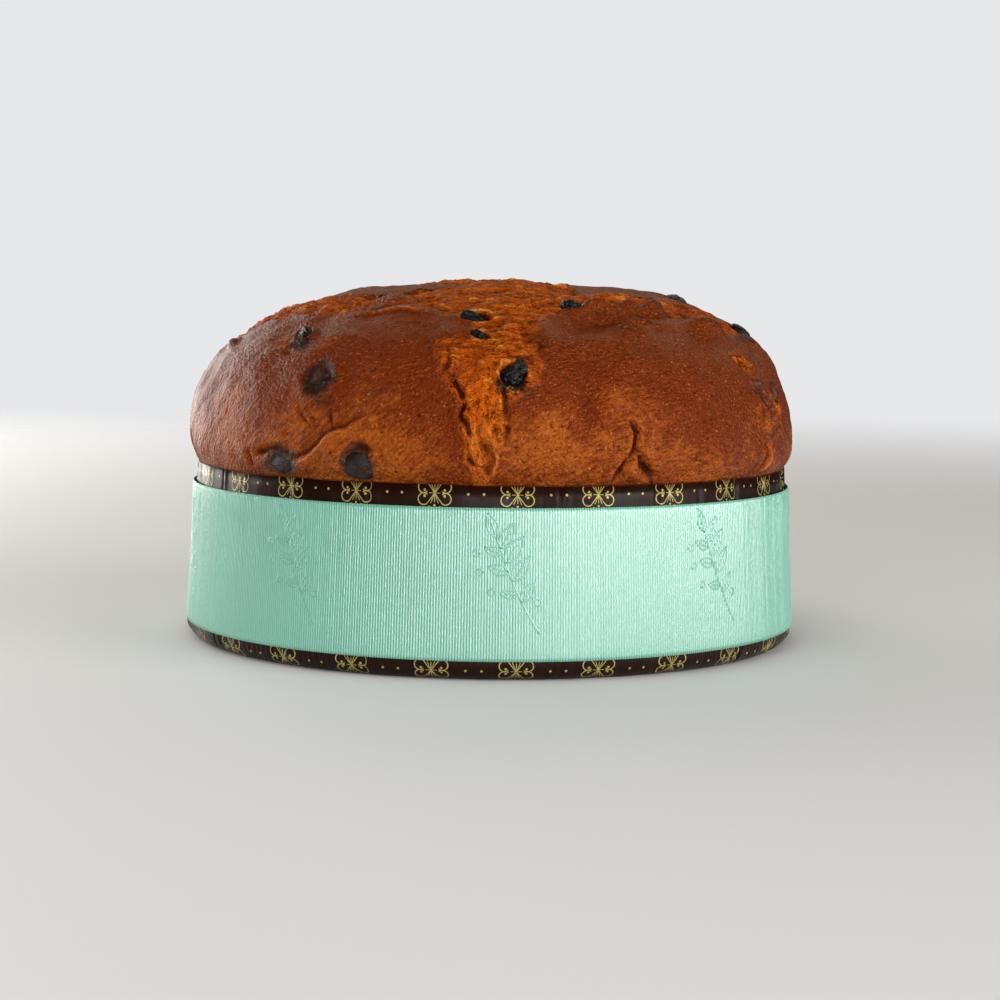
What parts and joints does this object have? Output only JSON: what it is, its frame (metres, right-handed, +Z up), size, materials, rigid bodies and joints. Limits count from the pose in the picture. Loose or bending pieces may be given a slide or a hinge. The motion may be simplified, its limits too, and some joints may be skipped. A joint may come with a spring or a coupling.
{
  "type": "panettone",
  "caption": "Domed sweet loaf with raisins, its crust torn open along a cut cross, in a low round paper mould with a grosgrain ribbon round it.",
  "frame": {"origin": "middle of the paper mould's underside, on the surface that it stands on", "axes": "+Z up through the middle of the dome; the front tear of the cut cross faces -Y and the ribbon's lapped ends face +Y"},
  "size_m": [0.2112, 0.2123, 0.1227],
  "materials": {
    "crust": "satin",
    "raisin": "satin",
    "mould_paper": "gloss",
    "mould_card": "matte",
    "grosgrain": "matte",
    "adhesive_tape": "satin"
  },
  "bodies": {
    "root": {"loaf": "crust", "raisin_01": "raisin", "raisin_02": "raisin", "raisin_03": "raisin", "raisin_04": "raisin", "raisin_05": "raisin", "raisin_06": "raisin", "raisin_07": "raisin", "raisin_08": "raisin", "raisin_09": "raisin", "raisin_10": "raisin", "raisin_11": "raisin", "raisin_12": "raisin", "raisin_13": "raisin", "raisin_14": "raisin", "raisin_15": "raisin", "raisin_16": "raisin", "raisin_17": "raisin", "raisin_18": "raisin", "raisin_19": "raisin", "raisin_20": "raisin", "raisin_21": "raisin", "mould_wall": "mould_paper", "mould_base": "mould_card", "ribbon": "grosgrain", "ribbon_tape": "adhesive_tape"}
  },
  "joints": []
}
